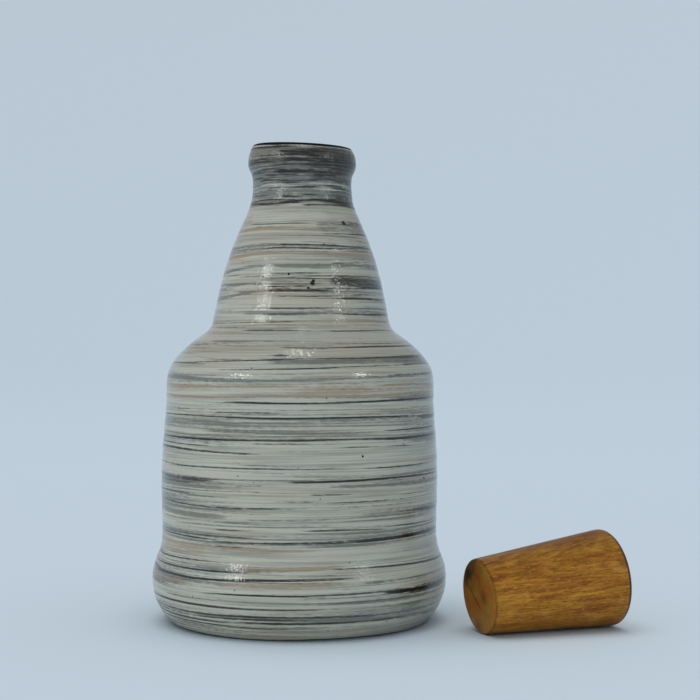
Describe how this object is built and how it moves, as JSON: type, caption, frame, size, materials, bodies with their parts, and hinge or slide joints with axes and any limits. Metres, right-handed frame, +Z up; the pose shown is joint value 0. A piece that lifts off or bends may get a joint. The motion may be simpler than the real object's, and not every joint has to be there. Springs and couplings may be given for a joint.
{
  "type": "water bottle",
  "caption": "Wheel-thrown terracotta water bottle with a banded glaze, straight body, cone shoulder and short lipped neck, beside the tapered wooden stopper that closes it.",
  "frame": {"origin": "centre of the bottle's flat foot, on the surface that it stands on", "axes": "+Z up along the bottle's axis; the picture looks along +Y with +X to its right, where the stopper lies"},
  "size_m": [0.1929, 0.1214, 0.1958],
  "materials": {
    "glazed_clay": "cream-grey glaze brushed on the wheel in dark grey and tan bands, glossy, bare clay under the foot",
    "varnished_wood": "turned wood, thin varnish, end grain on both ends"
  },
  "bodies": {
    "bottle": {"bottle": "glazed_clay"},
    "stopper": {"stopper": "varnished_wood"}
  },
  "joints": [
    {"name": "stopper_lift", "type": "slide", "parent": "bottle", "child": "stopper", "axis": [0, 0, 1], "range_m": [0, 0.22]}
  ]
}
